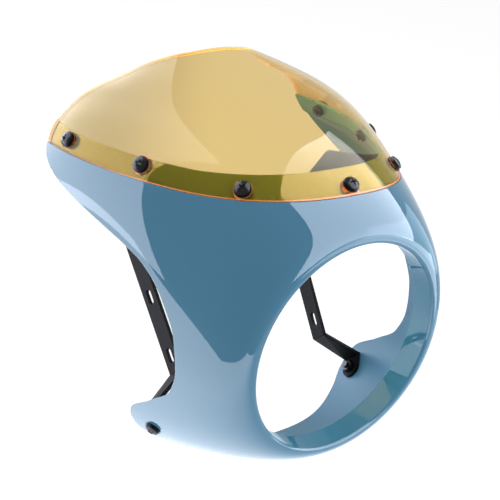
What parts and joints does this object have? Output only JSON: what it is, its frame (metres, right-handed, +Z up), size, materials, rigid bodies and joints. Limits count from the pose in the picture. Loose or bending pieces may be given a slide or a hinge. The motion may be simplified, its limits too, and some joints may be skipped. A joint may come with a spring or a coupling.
{
  "type": "headlight cowl with fly screen",
  "caption": "Moulded motorbike headlight cowl round a lamp mouth, with a tinted fly screen screwed to a sunk flange and flat steel stays with slots.",
  "frame": {"origin": "centre of the lamp mouth, in the plane of its front lip", "axes": "-Y forward along the lamp's beam, +X to the rider's left, +Z up towards the top of the screen"},
  "size_m": [0.2923, 0.2489, 0.3143],
  "materials": {
    "shell": "glossy pastel blue lacquer on a moulded shell",
    "screen": "polished amber transparent acrylic",
    "stay_steel": "satin black powder coat",
    "black_hardware": "black zinc, slightly glossy"
  },
  "bodies": {
    "root": {"cowl_shell": "shell", "fly_screen": "screen", "left_stay": "stay_steel", "right_stay": "stay_steel", "screen_screw_1": "black_hardware", "screen_screw_2": "black_hardware", "screen_screw_3": "black_hardware", "screen_screw_4": "black_hardware", "screen_screw_5": "black_hardware", "screen_screw_6": "black_hardware", "screen_screw_7": "black_hardware", "screen_washer_1": "black_hardware", "screen_washer_2": "black_hardware", "screen_washer_3": "black_hardware", "screen_washer_4": "black_hardware", "screen_washer_5": "black_hardware", "screen_washer_6": "black_hardware", "screen_washer_7": "black_hardware", "screen_nut_1": "black_hardware", "screen_nut_2": "black_hardware", "screen_nut_3": "black_hardware", "screen_nut_4": "black_hardware", "screen_nut_5": "black_hardware", "screen_nut_6": "black_hardware", "screen_nut_7": "black_hardware", "left_lower_bolt": "black_hardware", "right_lower_bolt": "black_hardware", "left_lower_washer": "black_hardware", "right_lower_washer": "black_hardware", "left_lower_nut": "black_hardware", "right_lower_nut": "black_hardware"}
  },
  "joints": []
}
